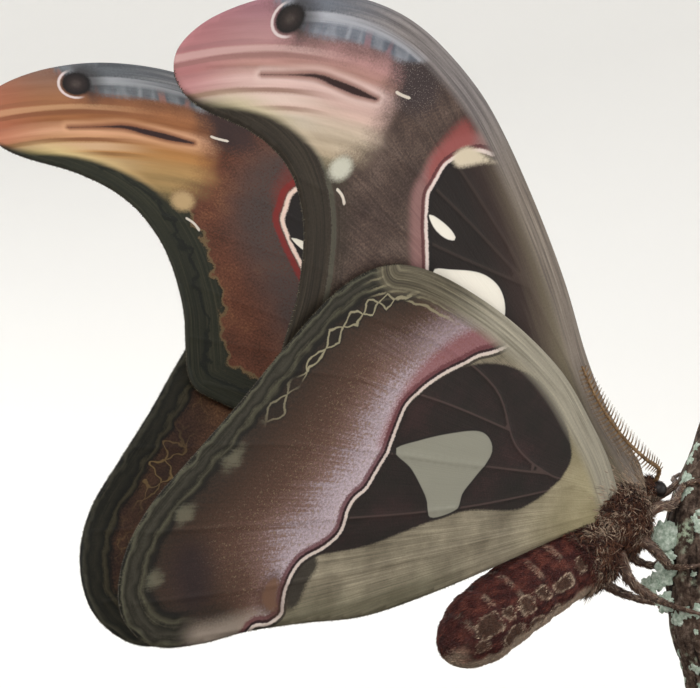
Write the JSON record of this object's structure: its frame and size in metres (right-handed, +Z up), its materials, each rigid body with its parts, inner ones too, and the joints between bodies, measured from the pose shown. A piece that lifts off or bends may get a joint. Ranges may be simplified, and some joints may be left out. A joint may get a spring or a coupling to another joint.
{
  "type": "atlas moth model on a stand",
  "caption": "Life-size still model of a female atlas moth, wings raised in a narrow V, gripping a short cut stem held by a rod on a flat stand.",
  "frame": {"origin": "centre of the stand's underside, on the surface it rests on", "axes": "+Z up, +X the way the moth faces, +Y to the moth's left"},
  "size_m": [0.15, 0.098, 0.1386],
  "materials": {
    "wing": "matte scales with a soft sheen; bands, eyespot and clear windows are drawn in the render",
    "body": "dense brown fur",
    "abdomen": "short maroon fur with pale rings",
    "antenna": "dry ochre brown",
    "eye": "dark and glossy",
    "leg": "brown with short hair",
    "bark": "rough bark with pale lichen",
    "stand_base": "dark satin",
    "stand_rod": "brushed"
  },
  "bodies": {
    "root": {"thorax": "body", "head": "body", "eye_right": "eye", "eye_left": "eye", "antenna_right": "antenna", "antenna_left": "antenna", "abdomen": "abdomen", "leg_front_right": "leg", "leg_front_left": "leg", "leg_mid_right": "leg", "leg_mid_left": "leg", "leg_hind_right": "leg", "leg_hind_left": "leg", "forewing_right": "wing", "forewing_left": "wing", "hindwing_right": "wing", "hindwing_left": "wing", "perch": "bark", "stand_base": "stand_base", "stand_rod": "stand_rod"}
  },
  "joints": []
}
